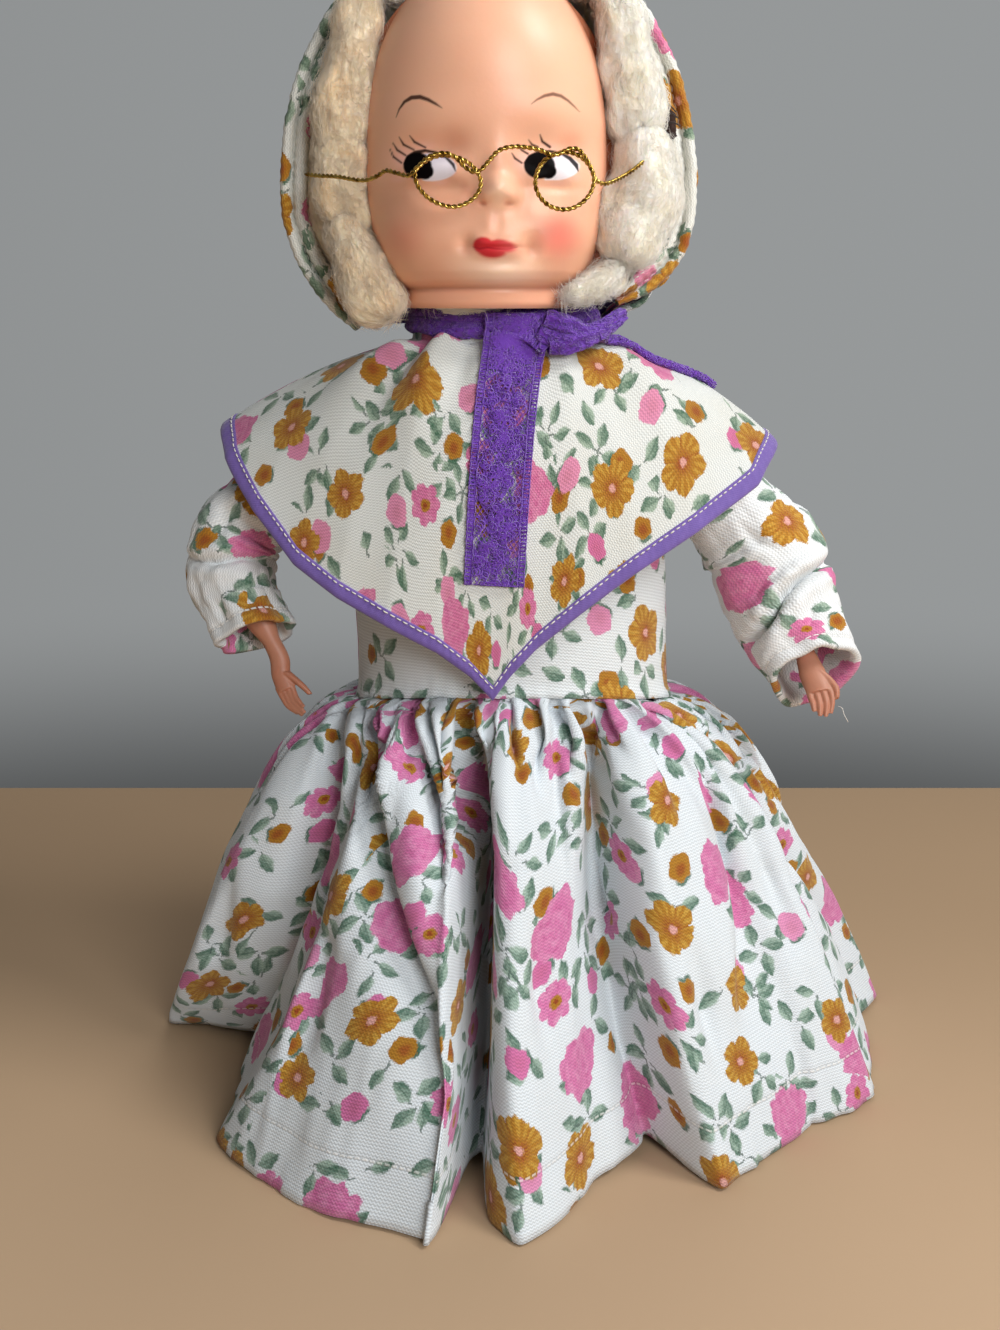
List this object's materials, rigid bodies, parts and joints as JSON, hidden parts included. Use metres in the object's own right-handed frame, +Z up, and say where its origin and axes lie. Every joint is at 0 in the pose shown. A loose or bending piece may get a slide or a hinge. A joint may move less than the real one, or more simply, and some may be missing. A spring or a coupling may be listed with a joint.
{
  "type": "grandma doll",
  "caption": "Standing old-lady doll in a floral dress, square cape and bonnet, with cotton-wool hair, wire spectacles and a painted vinyl face; its head and arms turn.",
  "frame": {"origin": "on the flat underside of the bottle body, at the floor, 1 mm from its centre", "axes": "+Z up through the head; the doll faces -Y; its own left arm is on the +X side"},
  "size_m": [0.2603, 0.2525, 0.3624],
  "materials": {
    "bottle": "semi-gloss moulded plastic",
    "sand": "loose dry sand",
    "cork": "raw cork",
    "wire": "drawn wire",
    "wadding": "carded wadding",
    "print": "cream cotton with a small floral print",
    "binding": "violet cotton bias binding with white topstitch",
    "lace": "violet lace ribbon",
    "vinyl": "painted soft vinyl, satin",
    "stuffing": "firm stuffed core",
    "hair": "cream cotton wool",
    "gold": "twisted gilt wire"
  },
  "bodies": {
    "base": {"body_bottle": "bottle", "ballast_sand": "sand", "neck_stopper": "cork", "arm_wire_yoke": "wire", "torso_padding": "wadding", "dress_bodice": "print", "dress_skirt": "print", "cape_collar": "print", "cape_binding": "binding", "neck_ribbon": "lace", "ribbon_knot": "lace", "ribbon_tail_front": "lace", "ribbon_tail_side": "lace"},
    "head": {"head_core": "stuffing", "face_mask": "vinyl", "hair_roll_upper_right": "hair", "hair_roll_middle_right": "hair", "hair_roll_lower_right": "hair", "hair_roll_upper_left": "hair", "hair_roll_lower_left": "hair", "hair_roll_neck_left": "hair", "hair_fringe": "hair", "hair_back_pad": "hair", "bonnet_crown": "print", "bonnet_brim": "print", "bonnet_neck_lace": "lace", "spectacles": "gold"},
    "arm_right": {"sleeve_right": "print", "arm_wire_right": "wire", "forearm_right": "vinyl"},
    "arm_left": {"sleeve_left": "print", "arm_wire_left": "wire", "forearm_left": "vinyl"}
  },
  "joints": [
    {"name": "head_swivel", "type": "hinge", "parent": "base", "child": "head", "pos_m": [0.001, 0, 0.25], "axis": [0, 0, 1], "range_deg": [-35, 35]},
    {"name": "arm_right_turn", "type": "hinge", "parent": "base", "child": "arm_right", "pos_m": [-0.049, 0, 0.213], "axis": [-0.7338, 0, -0.6794], "range_deg": [-12, 70]},
    {"name": "arm_left_turn", "type": "hinge", "parent": "base", "child": "arm_left", "pos_m": [0.052, 0, 0.212], "axis": [-0.6931, 0, 0.7208], "range_deg": [-40, 70]}
  ]
}
